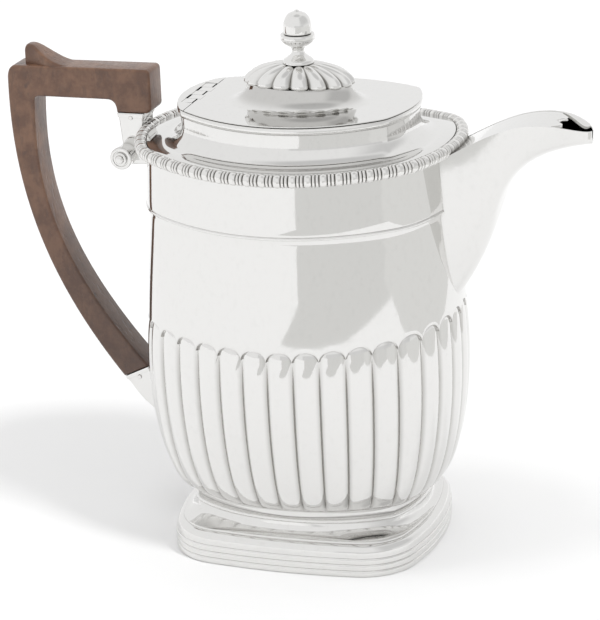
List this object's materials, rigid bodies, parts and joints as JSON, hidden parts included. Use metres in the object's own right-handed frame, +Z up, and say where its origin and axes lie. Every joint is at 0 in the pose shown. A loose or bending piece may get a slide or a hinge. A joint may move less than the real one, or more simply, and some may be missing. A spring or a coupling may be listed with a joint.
{
  "type": "coffee pot",
  "caption": "Oblong silver coffee pot with a fluted lower body, moulded foot, curved spout, hinged domed lid with acorn finial and a wooden handle.",
  "frame": {"origin": "on the table, midway between the back of the handle and the lip of the spout", "axes": "+X toward the spout, +Y across the pot, +Z up"},
  "size_m": [0.241, 0.1138, 0.2204],
  "materials": {
    "silver_sheet": "polished silver sheet with fine wear",
    "silver_cast": "polished cast silver, darker in the hollows",
    "silver_fittings": "bright silver wire and screws",
    "handle_wood": "satin brown hardwood"
  },
  "bodies": {
    "pot": {"body_shell": "silver_sheet", "base_plate": "silver_sheet", "collar_band": "silver_sheet", "gadroon_border": "silver_cast", "shoulder": "silver_sheet", "lid_seat_rim": "silver_cast", "foot_spread": "silver_sheet", "foot_rim": "silver_cast", "spout_body": "silver_sheet", "spout_top_plate": "silver_sheet", "wood_handle": "handle_wood", "upper_socket": "silver_sheet", "socket_roll": "silver_sheet", "roll_boss_front": "silver_sheet", "roll_boss_back": "silver_sheet", "roll_bracket": "silver_sheet", "upper_socket_pin": "silver_fittings", "lower_socket": "silver_sheet", "lower_socket_pin": "silver_fittings", "lid_end": "silver_sheet", "hinge_pin": "silver_fittings"},
    "lid": {"lid_plate": "silver_sheet", "lid_bezel": "silver_sheet", "lid_dome": "silver_cast", "acorn_cup": "silver_cast", "acorn_nut": "silver_cast", "finial_stud": "silver_fittings", "finial_nut": "silver_fittings"}
  },
  "joints": [
    {"name": "lid_hinge", "type": "hinge", "parent": "pot", "child": "lid", "pos_m": [-0.04, 0, 0.18266], "axis": [0, -1, 0], "range_deg": [0, 100]}
  ]
}
